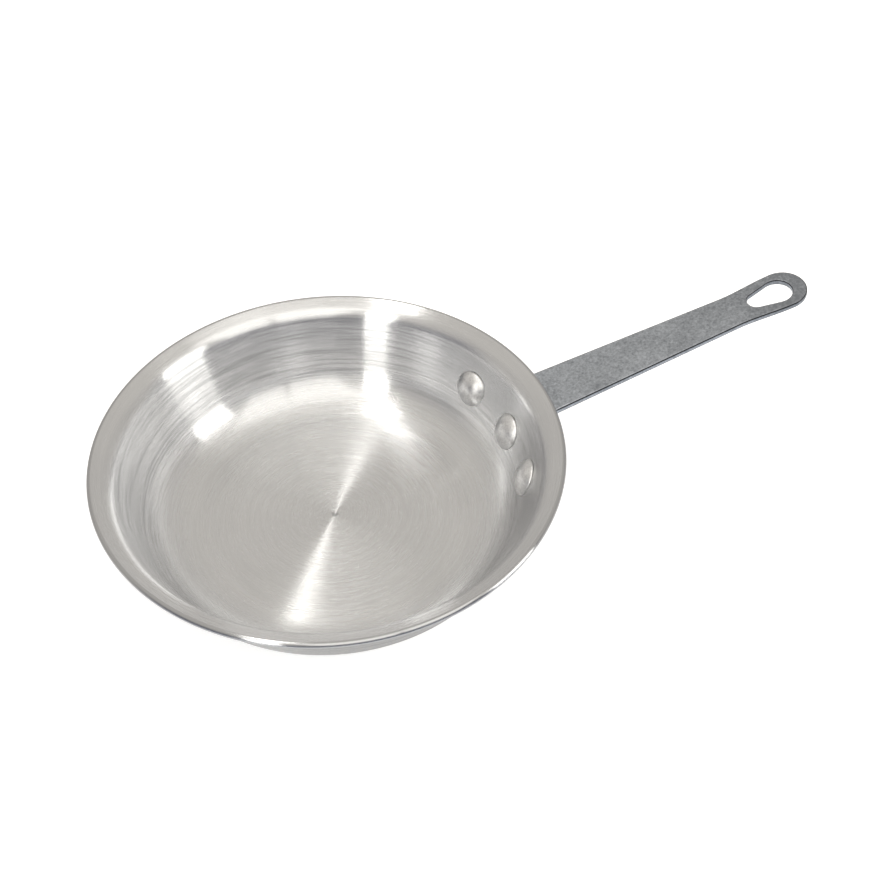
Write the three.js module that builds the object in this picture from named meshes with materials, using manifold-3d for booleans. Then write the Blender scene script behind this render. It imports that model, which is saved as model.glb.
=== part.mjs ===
// Frying pan: a pressed aluminium pan with a flared lip, a plated steel strip handle riveted to its wall
// through a wrapped saddle, and a hanging eye at the handle's end.
// Millimetres, +Z up. The origin is the centre of the base's underside, and the handle runs along +X.

import * as THREE from "three";
import { mergeVertices } from "three/addons/utils/BufferGeometryUtils.js";
import Module from "manifold-3d";

// Pan, sizes of the pressed sheet
const RIM_RADIUS = 101.6; // to the outermost point of the rounded rim
const PAN_HEIGHT = 46.6; // base underside to the top of the rim
const PAN_SHEET = 3;
const WALL_SLOPE = THREE.MathUtils.degToRad(67.3); // above the floor
const LIP_SLOPE = THREE.MathUtils.degToRad(27.5); // above the floor
const LIP_WIDTH = 9.1; // level width from the crease to the rim
const HEEL_RADIUS = 24; // inside, between floor and wall
const CREASE_RADIUS = 10; // inside, between wall and lip
const CENTRE_MARK_RADIUS = 1.9; // dimple that the forming centre leaves in the floor
const CENTRE_MARK_DEPTH = 0.3;

// Handle, sizes of the strip
const HANDLE_REACH = 233.8; // pan axis to the handle's tip
const HANDLE_RISE = THREE.MathUtils.degToRad(10.4);
const HANDLE_SHEET = 3;
const HANDLE_BEND_RADIUS = 9; // on the upper face, under the lip
const HANDLE_EDGE_RADIUS = 0.8;
const ROOT_WIDTH = 25.8; // where the strip leaves the bend
const NECK_WIDTH = 19.2; // narrowest place, before the eye
const NECK_FROM_TIP = 38;
const EYE_RADIUS = 11.3;

// Hanging hole, an egg with its wide end outwards
const HOLE_WIDE_RADIUS = 7.1;
const HOLE_NARROW_RADIUS = 4.6;
const HOLE_LENGTH = 22.3;
const HOLE_END_MARGIN = 6.9; // metal left between the hole and the tip

// Saddle, the wide end of the strip that is wrapped round the wall
const EAR_RADIUS = 9.5; // round each outer rivet
const SHOULDER_SLOPE = THREE.MathUtils.degToRad(15);
const NECK_FILLET = 6; // between shoulder and strip
const FLATTEN_LENGTH = 12; // strip length past the bend over which the wrap fades out

// Rivets
const RIVET_PITCH = 32.8; // along the saddle, middle rivet to outer rivet
const RIVET_DEPTH = 21.2; // down the wall, from the crease to the middle rivet
const RIVET_ROW_BOW = 2.1; // the outer rivets sit this much higher up the wall
const SHANK_RADIUS = 3;
const HEAD_RADIUS = 8.3;
const HEAD_DOME = 3.2;
const HEAD_EDGE = 0.5;
const TAIL_RADIUS = 5.6;
const TAIL_DOME = 1.7;
const TAIL_EDGE = 0.6;

// Clearances between neighbours
const WALL_GAP = 0.3; // saddle to wall
const LIP_GAP = 1; // handle bend to the underside of the lip
const SEAT_GAP = 0.3; // rivet heads to what they hold
const SHANK_GAP = 0.3; // rivet shank to its holes

// Facets
const PAN_SIDES = 80;
const RIVET_SIDES = 24;
const HEEL_STEPS = 5;
const CREASE_STEPS = 4;
const RIM_STEPS = 6;
const DOME_STEPS = 4;
const SADDLE_COLUMNS = 12;
const EAR_STEPS = 9;
const SHOULDER_STEPS = 4;
const FILLET_STEPS = 4;
const BEND_STEPS = 7;
const FLATTEN_STEPS = 3;
const STRIP_STEPS = 4;
const FLARE_STEPS = 5;
const EYE_STEPS = 9;
const EDGE_STEPS = 2;
const HOLE_STEPS = 12;
const LEAST_ROW_STEP = 0.4; // no row of the strip's grid is added nearer to another
const WELD_DISTANCE = 1e-4; // corners of a skin that lie nearer are one corner
const SLOPE_STEP = 1e-3; // half the span over which the strip's slope is measured

const wasm = await Module();
wasm.setup();

// Solids and booleans

function toSolid(geometry) {
  const bare = new THREE.BufferGeometry();
  bare.setAttribute("position", geometry.getAttribute("position"));
  bare.setIndex(geometry.index);
  const merged = mergeVertices(bare, WELD_DISTANCE);
  const corners = merged.index.array;
  const triangles = [];
  for (let i = 0; i < corners.length; i += 3) {
    const [a, b, c] = corners.slice(i, i + 3);
    if (a !== b && b !== c && c !== a) triangles.push(a, b, c);
  }
  const vertProperties = new Float32Array(merged.getAttribute("position").array);
  const triVerts = new Uint32Array(triangles);
  return new wasm.Manifold(new wasm.Mesh({ numProp: 3, vertProperties, triVerts }));
}

function toGeometry(solid) {
  const mesh = solid.getMesh();
  const geometry = new THREE.BufferGeometry();
  geometry.setAttribute("position", new THREE.BufferAttribute(mesh.vertProperties, 3));
  geometry.setIndex(new THREE.BufferAttribute(mesh.triVerts, 1));
  geometry.computeVertexNormals();
  return geometry;
}

function cut(geometry, cutters) {
  const pieces = cutters.map(toSolid);
  return toGeometry(pieces.reduce((left, piece) => left.subtract(piece), toSolid(geometry)));
}

// Profiles: a point is (radius, height)

const QUARTER = Math.PI / 2;

function polar(angle, length = 1) {
  return new THREE.Vector2(Math.cos(angle), Math.sin(angle)).multiplyScalar(length);
}

function arc(centre, radius, start, end, steps) {
  return Array.from({ length: steps + 1 }, (_, i) => {
    return polar(start + ((end - start) * i) / steps, radius).add(centre);
  });
}

// A profile runs anticlockwise in radius and height, so that the turned solid faces outwards.
function turned(profile, sides) {
  return new THREE.LatheGeometry(profile, sides).rotateX(QUARTER);
}

// The wall and the lip leave the crease as two straight lines on the inside of the sheet.
const rimCentre = new THREE.Vector2(RIM_RADIUS - PAN_SHEET / 2, PAN_HEIGHT - PAN_SHEET / 2);
const lipEnd = polar(LIP_SLOPE + QUARTER, PAN_SHEET / 2).add(rimCentre);
const creaseRadius = RIM_RADIUS - LIP_WIDTH;
const crease = new THREE.Vector2(
  creaseRadius,
  lipEnd.y - (lipEnd.x - creaseRadius) * Math.tan(LIP_SLOPE),
);
const wallUp = polar(WALL_SLOPE);
const wallOut = polar(WALL_SLOPE - QUARTER);
const lipOut = polar(LIP_SLOPE - QUARTER);

// The point that lies a given distance outside both the wall line and the lip line.
function outsideCrease(fromWall, fromLip) {
  const turn = wallOut.cross(lipOut);
  return new THREE.Vector2(
    (fromWall * lipOut.y - fromLip * wallOut.y) / turn,
    (fromLip * wallOut.x - fromWall * lipOut.x) / turn,
  ).add(crease);
}

// A point on the wall: distance down from the crease, and distance out from the inside face.
function onWall(down, out) {
  return crease.clone().addScaledVector(wallUp, -down).addScaledVector(wallOut, out);
}

function panBody() {
  const cornerRadius = crease.x - (crease.y - PAN_SHEET) / Math.tan(WALL_SLOPE);
  const floorRadius = cornerRadius - HEEL_RADIUS * Math.tan(WALL_SLOPE / 2);
  const heelCentre = new THREE.Vector2(floorRadius, PAN_SHEET + HEEL_RADIUS);
  const creaseCentre = outsideCrease(CREASE_RADIUS, CREASE_RADIUS);
  const wallTurn = WALL_SLOPE - QUARTER;
  const wallBack = WALL_SLOPE + QUARTER;
  const lipTurn = LIP_SLOPE - QUARTER;
  const lipBack = LIP_SLOPE + QUARTER;
  const outerHeel = HEEL_RADIUS + PAN_SHEET;
  const innerCrease = CREASE_RADIUS - PAN_SHEET;
  const profile = [
    new THREE.Vector2(0, 0),
    ...arc(heelCentre, outerHeel, -QUARTER, wallTurn, HEEL_STEPS),
    ...arc(creaseCentre, innerCrease, wallBack, lipBack, CREASE_STEPS),
    ...arc(rimCentre, PAN_SHEET / 2, lipTurn, lipBack, RIM_STEPS),
    ...arc(creaseCentre, CREASE_RADIUS, lipBack, wallBack, CREASE_STEPS),
    ...arc(heelCentre, HEEL_RADIUS, wallTurn, -QUARTER, HEEL_STEPS),
    new THREE.Vector2(CENTRE_MARK_RADIUS, PAN_SHEET),
    new THREE.Vector2(0, PAN_SHEET - CENTRE_MARK_DEPTH),
  ];
  return turned(profile, PAN_SIDES);
}

// Handle centre line, in the middle of the thickness: up the wall, round the bend, out along the strip

const halfStrip = HANDLE_SHEET / 2;
const saddleOut = PAN_SHEET + WALL_GAP + halfStrip;
const bendCentre = outsideCrease(
  PAN_SHEET + WALL_GAP + HANDLE_BEND_RADIUS,
  PAN_SHEET + LIP_GAP + HANDLE_BEND_RADIUS,
);
const bendRadius = HANDLE_BEND_RADIUS - halfStrip;
const bendLength = bendRadius * (WALL_SLOPE - HANDLE_RISE);
const bendDepth = -bendCentre.clone().sub(crease).dot(wallUp);
const stripUp = polar(HANDLE_RISE + QUARTER);
const stripAlong = polar(HANDLE_RISE);
const stripStart = bendCentre.clone().addScaledVector(stripUp, bendRadius);
const tipAlong = bendLength + (HANDLE_REACH - stripStart.x) / stripAlong.x;

// Radius and height of the centre line, a distance along it from the foot of the bend.
function centreLine(along) {
  if (along < 0) return onWall(bendDepth - along, saddleOut);
  if (along < bendLength) return polar(WALL_SLOPE + QUARTER - along / bendRadius, bendRadius).add(bendCentre);
  return stripStart.clone().addScaledVector(stripAlong, along - bendLength);
}

// The saddle is wrapped round the pan's axis, and the wrap fades to a flat strip past the bend.
function middleSurface(across, along) {
  const { x: radius, y: height } = centreLine(along);
  const flat = new THREE.Vector3(radius, across, height);
  const turn = across / radius;
  const wrapped = new THREE.Vector3(radius * Math.cos(turn), radius * Math.sin(turn), height);
  return wrapped.lerp(flat, THREE.MathUtils.smoothstep(along, 0, bendLength + FLATTEN_LENGTH));
}

// A point of the formed strip: across, along, and above the middle of its thickness.
function formed(across, along, above) {
  const side = middleSurface(across + SLOPE_STEP, along).sub(middleSurface(across - SLOPE_STEP, along));
  const forward = middleSurface(across, along + SLOPE_STEP).sub(middleSurface(across, along - SLOPE_STEP));
  const normal = forward.cross(side).normalize();
  return middleSurface(across, along).addScaledVector(normal, above);
}

// Right-hand outline of the flat strip as (across, along) points with their outward directions.
// It climbs from the saddle's lower edge, round the ear, up the shoulder and along the strip to the tip.
function stripOutline() {
  const rivetAlong = bendDepth - RIVET_DEPTH + RIVET_ROW_BOW;
  const ear = new THREE.Vector2(RIVET_PITCH, rivetAlong);
  const root = ROOT_WIDTH / 2;
  const neck = NECK_WIDTH / 2;
  const shoulderOut = QUARTER - SHOULDER_SLOPE;
  const earTop = polar(shoulderOut, EAR_RADIUS).add(ear);
  const cornerAlong = earTop.y + (earTop.x - root) * Math.tan(SHOULDER_SLOPE);
  const filletAlong = cornerAlong + NECK_FILLET * Math.tan(shoulderOut / 2);
  const fillet = new THREE.Vector2(root + NECK_FILLET, filletAlong);
  const neckAlong = tipAlong - NECK_FROM_TIP;
  const eye = new THREE.Vector2(0, tipAlong - EYE_RADIUS);
  const bendEnd = Math.max(filletAlong, bendLength);
  const outline = [];
  const add = (point, angle) => outline.push({ point, out: polar(angle) });

  arc(ear, EAR_RADIUS, -QUARTER, shoulderOut, EAR_STEPS).forEach((point, i) => {
    add(point, -QUARTER + ((shoulderOut + QUARTER) * i) / EAR_STEPS);
  });
  const filletFoot = polar(shoulderOut, -NECK_FILLET).add(fillet);
  for (let i = 1; i < SHOULDER_STEPS; i += 1) {
    add(earTop.clone().lerp(filletFoot, i / SHOULDER_STEPS), shoulderOut);
  }
  arc(fillet, NECK_FILLET, shoulderOut + Math.PI, Math.PI, FILLET_STEPS).forEach((point, i) => {
    add(point, shoulderOut * (1 - i / FILLET_STEPS));
  });
  const taper = Math.atan2(root - neck, neckAlong - bendEnd);
  for (let i = 1; i <= STRIP_STEPS; i += 1) {
    const share = i / STRIP_STEPS;
    const along = THREE.MathUtils.lerp(bendEnd, neckAlong, share);
    add(new THREE.Vector2(THREE.MathUtils.lerp(root, neck, share), along), taper * (1 - share));
  }
  const flare = new THREE.CubicBezierCurve(
    new THREE.Vector2(neck, neckAlong),
    new THREE.Vector2(neck, THREE.MathUtils.lerp(neckAlong, eye.y, 1 / 3)),
    new THREE.Vector2(EYE_RADIUS, THREE.MathUtils.lerp(neckAlong, eye.y, 2 / 3)),
    new THREE.Vector2(EYE_RADIUS, eye.y),
  );
  for (let i = 1; i < FLARE_STEPS; i += 1) {
    const way = flare.getTangent(i / FLARE_STEPS);
    add(flare.getPoint(i / FLARE_STEPS), way.angle() - QUARTER);
  }
  arc(eye, EYE_RADIUS, 0, QUARTER, EYE_STEPS).forEach((point, i) => {
    add(point, (QUARTER * i) / EYE_STEPS);
  });
  return outline;
}

// Extra places along the strip where it bends or flattens.
function formingPlaces() {
  const inBend = Array.from({ length: BEND_STEPS + 1 }, (_, i) => (bendLength * i) / BEND_STEPS);
  const past = Array.from({ length: FLATTEN_STEPS }, (_, i) => {
    return bendLength + (FLATTEN_LENGTH * (i + 1)) / FLATTEN_STEPS;
  });
  return [...inBend, ...past];
}

// The outline with a row added at each forming place that no row lies near.
function outlineRows() {
  const rows = stripOutline();
  for (const along of formingPlaces()) {
    const next = rows.findIndex(({ point }) => point.y > along);
    const low = rows[next - 1];
    const high = rows[next];
    const room = Math.min(along - low.point.y, high.point.y - along);
    const share = (along - low.point.y) / (high.point.y - low.point.y);
    const point = low.point.clone().lerp(high.point, share);
    const out = low.out.clone().lerp(high.out, share).normalize();
    if (room > LEAST_ROW_STEP) rows.splice(next, 0, { point, out });
  }
  return rows;
}

// The strip as a closed skin: a grid on the upper and lower face, and rounded edges all round.
function formedStrip() {
  const right = outlineRows();
  const mirror = ({ point, out }) => ({
    point: new THREE.Vector2(-point.x, point.y),
    out: new THREE.Vector2(-out.x, out.y),
  });
  const inset = ({ point, out }, by) => point.clone().addScaledVector(out, -by);
  const foot = right[0];
  const columns = Array.from({ length: SADDLE_COLUMNS + 1 }, (_, j) => 2 * (j / SADDLE_COLUMNS) - 1);
  const lowerEdge = columns.slice(1, -1).map((share) => ({
    point: new THREE.Vector2(foot.point.x * share, foot.point.y),
    out: foot.out,
  }));
  const left = right.slice(0, -1).map(mirror).reverse();
  const loop = [...lowerEdge, ...right, ...left];

  const corners = [];
  const face = (a, b, c, d) => corners.push(a, b, c, a, c, d);

  const grid = right.map((row) => {
    const { x, y } = inset(row, HANDLE_EDGE_RADIUS);
    return columns.map((share) => [x * share, y]);
  });
  for (let i = 0; i + 1 < grid.length; i += 1) {
    for (let j = 0; j + 1 < columns.length; j += 1) {
      const patch = [grid[i][j], grid[i + 1][j], grid[i + 1][j + 1], grid[i][j + 1]];
      const upper = patch.map(([across, along]) => formed(across, along, halfStrip));
      const lower = patch.map(([across, along]) => formed(across, along, -halfStrip));
      face(...upper);
      face(...lower.reverse());
    }
  }

  const quarter = Array.from({ length: EDGE_STEPS + 1 }, (_, k) => QUARTER * (1 - k / EDGE_STEPS));
  const turns = [...quarter, ...quarter.map((turn) => -turn).reverse()];
  const rings = turns.map((turn, k) => {
    const by = HANDLE_EDGE_RADIUS * (1 - Math.cos(turn));
    const side = k <= EDGE_STEPS ? 1 : -1;
    const above = side * (halfStrip - HANDLE_EDGE_RADIUS) + HANDLE_EDGE_RADIUS * Math.sin(turn);
    return loop.map((place) => {
      const { x, y } = inset(place, by);
      return formed(x, y, above);
    });
  });
  for (let k = 0; k + 1 < rings.length; k += 1) {
    for (let i = 0; i < loop.length; i += 1) {
      const next = (i + 1) % loop.length;
      face(rings[k][i], rings[k][next], rings[k + 1][next], rings[k + 1][i]);
    }
  }
  return new THREE.BufferGeometry().setFromPoints(corners);
}

// Two round ends joined by their common tangents, with the wide end outwards along +X.
function hangingHole() {
  const wide = tipAlong - HOLE_END_MARGIN - HOLE_WIDE_RADIUS;
  const spacing = HOLE_LENGTH - HOLE_WIDE_RADIUS - HOLE_NARROW_RADIUS;
  const lean = Math.asin((HOLE_WIDE_RADIUS - HOLE_NARROW_RADIUS) / spacing);
  const turn = QUARTER + lean;
  const egg = new THREE.Shape();
  egg.absarc(0, 0, HOLE_WIDE_RADIUS, -turn, turn);
  egg.absarc(-spacing, 0, HOLE_NARROW_RADIUS, turn, 2 * Math.PI - turn);
  const depth = 2 * HANDLE_SHEET;
  const { x: radius, y: height } = centreLine(wide);
  return new THREE.ExtrudeGeometry(egg, { depth, bevelEnabled: false, curveSegments: HOLE_STEPS })
    .translate(0, 0, -depth / 2)
    .rotateY(-HANDLE_RISE)
    .translate(radius, 0, height);
}

// Rivets: their axis runs square to the wall, with the domed head inside the pan

const rivets = [-1, 0, 1].map((side) => {
  const down = RIVET_DEPTH - Math.abs(side) * RIVET_ROW_BOW;
  const azimuth = (side * RIVET_PITCH) / centreLine(bendDepth - down).x;
  return { azimuth, seat: onWall(down, 0) };
});

// A drill through wall and saddle that reaches well past both of them.
function rivetHole({ azimuth, seat }) {
  const radius = SHANK_RADIUS + SHANK_GAP;
  const reach = 2 * (PAN_SHEET + WALL_GAP + HANDLE_SHEET);
  return new THREE.CylinderGeometry(radius, radius, 2 * reach, RIVET_SIDES)
    .rotateX(QUARTER)
    .rotateY(-WALL_SLOPE)
    .translate(seat.x, 0, seat.y)
    .rotateZ(azimuth);
}

// A round cap over an edge of the given radius, from the edge to the axis.
function dome(radius, rise, base) {
  const sphere = (radius * radius + rise * rise) / (2 * rise);
  const centre = new THREE.Vector2(0, base + rise - sphere);
  const start = Math.acos(radius / sphere);
  return arc(centre, sphere, start, QUARTER, DOME_STEPS);
}

function rivetBody({ seat }) {
  const hollow = (seat.x - Math.sqrt(seat.x ** 2 - HEAD_RADIUS ** 2)) * Math.sin(WALL_SLOPE);
  const headSeat = hollow + SEAT_GAP;
  const tailSeat = PAN_SHEET + WALL_GAP + HANDLE_SHEET + SEAT_GAP;
  const tail = dome(TAIL_RADIUS, TAIL_DOME, tailSeat + TAIL_EDGE);
  const profile = [
    ...tail.reverse().map(({ x, y }) => new THREE.Vector2(x, -y)),
    new THREE.Vector2(TAIL_RADIUS, -tailSeat),
    new THREE.Vector2(SHANK_RADIUS, -tailSeat),
    new THREE.Vector2(SHANK_RADIUS, headSeat),
    new THREE.Vector2(HEAD_RADIUS, headSeat),
    ...dome(HEAD_RADIUS, HEAD_DOME, headSeat + HEAD_EDGE),
  ];
  return turned(profile, RIVET_SIDES);
}

// Assembly

const aluminium = { color: 0xb9b5ae, roughness: 0.36, metalness: 1 };
const platedSteel = { color: 0x93969a, roughness: 0.38, metalness: 1 };
const rivetAluminium = { color: 0xc6c4c0, roughness: 0.24, metalness: 1 };

function piece(name, geometry, finish) {
  const mesh = new THREE.Mesh(geometry, new THREE.MeshStandardMaterial(finish));
  mesh.name = name;
  return mesh;
}

const rivetHoles = rivets.map(rivetHole);
const pan = new THREE.Group();
pan.add(piece("pan_body", cut(panBody(), rivetHoles), aluminium));
pan.add(piece("handle", cut(formedStrip(), [...rivetHoles, hangingHole()]), platedSteel));

const RIVET_NAMES = ["rivet_right", "rivet_middle", "rivet_left"];
rivets.forEach((rivet, i) => {
  const holder = new THREE.Group();
  const mesh = piece(RIVET_NAMES[i], rivetBody(rivet), rivetAluminium);
  mesh.position.set(rivet.seat.x, 0, rivet.seat.y);
  mesh.rotation.y = -WALL_SLOPE;
  holder.rotation.z = rivet.azimuth;
  holder.add(mesh);
  pan.add(holder);
});

export default pan;
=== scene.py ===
"""Frying pan: a turned aluminium pan with a flared lip and a plated steel strip handle on three rivets."""

import math
from typing import NamedTuple

import bpy
from bpy.props import FloatProperty, FloatVectorProperty, PointerProperty
from mathutils import Matrix, Quaternion, Vector


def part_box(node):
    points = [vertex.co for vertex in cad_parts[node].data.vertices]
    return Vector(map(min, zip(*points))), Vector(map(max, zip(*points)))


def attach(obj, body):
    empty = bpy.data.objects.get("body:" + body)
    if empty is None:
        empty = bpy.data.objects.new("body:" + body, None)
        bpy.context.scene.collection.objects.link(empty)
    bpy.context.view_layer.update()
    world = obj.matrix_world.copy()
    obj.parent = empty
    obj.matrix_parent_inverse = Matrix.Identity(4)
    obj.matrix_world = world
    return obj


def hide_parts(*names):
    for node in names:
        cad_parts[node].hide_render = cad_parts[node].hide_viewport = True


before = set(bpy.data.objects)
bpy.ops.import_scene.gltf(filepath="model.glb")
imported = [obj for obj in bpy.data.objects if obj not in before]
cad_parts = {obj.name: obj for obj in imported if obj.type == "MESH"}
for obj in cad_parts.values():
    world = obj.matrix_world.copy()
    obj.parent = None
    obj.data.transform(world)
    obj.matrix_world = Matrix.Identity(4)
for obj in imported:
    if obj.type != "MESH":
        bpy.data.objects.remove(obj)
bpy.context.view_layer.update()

bl_info = {
    "name": "Frying Pan",
    "version": (1, 0, 0),
    "blender": (4, 5, 0),
    "location": "3D View > Sidebar > Frying Pan",
    "description": "Models a riveted aluminium frying pan and lights it in a small studio",
    "category": "Add Mesh",
}

MM = 0.001
QUARTER = math.pi / 2
BODY = "root"
PAN_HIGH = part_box("pan_body")[1]
HANDLE_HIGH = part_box("handle")[1]
TIP_LEAN = 0.15 * MM  # The lower edge of the rising strip stands this far past its middle

# Steps of the meshes
TURN_STEPS = 240
FLOOR_RINGS = 9
HEEL_STEPS = 14
CREASE_STEPS = 10
RIM_STEPS = 14
WALL_STEPS = 6
LIP_STEPS = 2
MARK_STEPS = 6
COLUMNS = 24
EAR_STEPS = 14
SHOULDER_STEPS = 5
FILLET_STEPS = 6
BEND_STEPS = 14
FLATTEN_STEPS = 6
STRIP_STEPS = 4
FLARE_STEPS = 9
EYE_STEPS = 18
EDGE_SEGMENTS = 4
HOLE_STEPS = 48
RIVET_STEPS = 64
DOME_STEPS = 14
LEAST_ROW_STEP = 0.3 * MM
WELD = 0.001 * MM

# Limits of the modelling steps
FLAT_ANGLE = math.radians(0.2)
SHARP_ANGLE = math.radians(60)
EDGE_FILL = 0.97
DOME_FADE = 0.6

# Turning marks: how close they lie along the pan's section, and how they vary round the pan
FINE_GROOVES = (5000, 4)
HAIR_LINES = (2600, 4)
CLEAR_LINES = (620, 1.8)
BROAD_BANDS = (330, 1.2)
HAIR_SHARE, CLEAR_SHARE, BROAD_SHARE = 0.35, 0.55, 0.1
FLOOR_CONTRAST = 0.6
WALL_CONTRAST = 4.2
PAN_CLOUD = 30.0
PAN_CLOUDINESS = 0.3
POLISH_DEPTH = 0.03 * MM
ACROSS_THE_MARKS = 0.25
ON_THE_AXIS = 1e-9

# Fades on the pan: along its section as radius plus height, from the crease, or from the top of the rim
WALL_POLISH = (0.070, 0.112)
WALL_LINES = (0.080, 0.104)
LIP_FADE = (-5 * MM, 2 * MM)
# Painted shade on the rim's edge: how far down from the top and out past the lip it reaches
RIM_SHADE_FADE = (-0.8 * MM, -0.45 * MM)
RIM_SHADE_BREADTH = 0.8 * MM

# Painted shade on the upper wall, beside the left rivet: a darker patch that stands in for a dark reflection
PAINTED_SHADE_AZIMUTH = math.radians(17)
PAINTED_SHADE_SPREAD = (math.cos(math.radians(22)), math.cos(math.radians(6)))
PAINTED_SHADE_FOOT = (-34 * MM, -18 * MM)
PAINTED_SHADE_HEAD = (-1 * MM, -8 * MM)
PAINTED_SHADE_SHARE = 0.85

# Plating of the handle, and a painted dark reflection: a dark line along its upper edge
PLATING_GRAIN = 900.0
PLATING_PEBBLE = 420.0
PLATING_CLOUD = 60.0
PLATING_DEPTH = 0.12 * MM
EYE_FADE = (0.17, 0.225)
EYE_DARKENING = 0.4
# Painted dark reflection along the strip's upper edge: where it lies across the rounding and how far out
# along the handle it starts
PAINTED_LINE_TOP = (0.03 * MM, 0.2 * MM)
PAINTED_LINE_FOOT = 0.7
PAINTED_LINE_START = (0.425, 0.445)

# Metal of the rivets
RIVET_GRAIN = 1300.0
RIVET_DENTS = 420.0
RIVET_DENT_FADE = (0.3, 0.7)
RIVET_DEPTH = 0.1 * MM

# Room: fades by height and towards its back, which lies beyond the pan
ROOM_BACK = (0.249, 0.968)
BACK_FADE = (-0.5, 0.2)
BACK_SHARE = 0.85
CEILING_FADE = (0.08, 0.78)
TABLE_FADE = (-0.2, -0.6)
UNDER_FADE = (-0.75, -0.95)
FLOOR_SIZE = 40
FLOOR_ROUGHNESS = 0.9
SENSOR_WIDTH = 36
LAMP_TINT = (1, 0.98, 0.93)
LAMP_POWER = 4


def length(name, description, metres):
    """A settable length in metres."""
    return FloatProperty(name=name, description=description, default=metres, unit="LENGTH", precision=5)


def angle(name, description, degrees):
    """A settable angle, written in degrees."""
    return FloatProperty(name=name, description=description, default=math.radians(degrees), subtype="ANGLE")


def share(name, description, value):
    """A settable number between none and all."""
    return FloatProperty(name=name, description=description, default=value, min=0, max=1, subtype="FACTOR")


def colour(name, description, red, green, blue):
    """A settable linear colour."""
    return FloatVectorProperty(
        name=name, description=description, default=(red, green, blue), min=0, max=1, subtype="COLOR"
    )


def strength(name, description, value):
    """A settable brightness of a light."""
    return FloatProperty(name=name, description=description, default=value, min=0)


class PanSizes(bpy.types.PropertyGroup):
    """Sizes of the pressed and turned pan"""

    rim_radius: length("Rim radius", "Axis to the outermost point of the rim", PAN_HIGH.y)
    height: length("Height", "Base to the top of the rim", PAN_HIGH.z)
    sheet: length("Sheet", "Thickness of the aluminium", 3 * MM)
    wall_slope: angle("Wall slope", "Wall above the floor", 67.3)
    lip_slope: angle("Lip slope", "Lip above the floor", 27.5)
    lip_width: length("Lip width", "Level width from the crease to the rim", 9.1 * MM)
    heel_radius: length("Heel radius", "Inside, between floor and wall", 24 * MM)
    crease_radius: length("Crease radius", "Inside, between wall and lip", 10 * MM)
    mark_radius: length("Centre mark radius", "Dimple of the forming centre", 2 * MM)
    mark_depth: length("Centre mark depth", "Dimple of the forming centre", 0.3 * MM)


class HandleSizes(bpy.types.PropertyGroup):
    """Sizes of the formed strip"""

    reach: length("Reach", "Pan axis to the handle's tip", HANDLE_HIGH.x - TIP_LEAN)
    rise: angle("Rise", "Strip above the level", 10.4)
    sheet: length("Strip", "Thickness of the strip", 3 * MM)
    edge_radius: length("Edge radius", "Rounding along the strip's edges", 0.8 * MM)
    bend_radius: length("Bend radius", "On the upper face, under the lip", 9 * MM)
    root_width: length("Root width", "Where the strip leaves the bend", 25.8 * MM)
    neck_width: length("Neck width", "Narrowest place, before the eye", 19.2 * MM)
    neck_from_tip: length("Neck from tip", "Narrowest place to the tip", 38 * MM)
    eye_radius: length("Eye radius", "Round end of the handle", 11.3 * MM)
    hole_wide: length("Hole, wide radius", "Outer end of the hanging hole", 7.1 * MM)
    hole_narrow: length("Hole, narrow radius", "Inner end of the hanging hole", 4.6 * MM)
    hole_length: length("Hole length", "Overall length of the hanging hole", 22.3 * MM)
    hole_margin: length("Hole margin", "Metal between the hole and the tip", 6.9 * MM)
    hole_edge: length("Hole edge", "Rounding round the hanging hole", 0.5 * MM)
    ear_radius: length("Ear radius", "Round the outer rivets", 9.5 * MM)
    shoulder_slope: angle("Shoulder slope", "From the ears up to the strip", 15)
    neck_fillet: length("Neck fillet", "Between shoulder and strip", 6 * MM)
    flatten: length("Flatten", "Length past the bend over which the strip becomes flat", 12 * MM)
    wall_gap: length("Wall gap", "Saddle to the pan's wall", 0.3 * MM)
    lip_gap: length("Lip gap", "Bend to the underside of the lip", 1 * MM)


class RivetSizes(bpy.types.PropertyGroup):
    """Sizes of the rivets"""

    pitch: length("Pitch", "Middle rivet to outer rivet, along the saddle", 32.8 * MM)
    depth: length("Depth", "Down the wall, from the crease to the middle rivet", 21.2 * MM)
    bow: length("Bow", "How much higher the outer rivets sit", 2.1 * MM)
    head_radius: length("Head radius", "Domed head inside the pan", 8.3 * MM)
    head_rise: length("Head rise", "Top of the head above the wall", 4.35 * MM)
    head_edge: length("Head edge", "Standing edge round the head", 0.55 * MM)
    shank_radius: length("Shank radius", "Body of the rivet", 3 * MM)
    tail_radius: length("Tail radius", "Closed head outside", 5.6 * MM)
    tail_rise: length("Tail rise", "Closed head outside", 2.3 * MM)
    tail_edge: length("Tail edge", "Standing edge round the closed head", 0.6 * MM)
    seat_gap: length("Seat gap", "Heads to the faces that they hold", 0.06 * MM)
    hammering: length("Hammering", "Unevenness of the heads", 0.12 * MM)
    hammer_mark: length("Hammer mark", "Breadth of the uneven places", 6 * MM)


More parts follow.
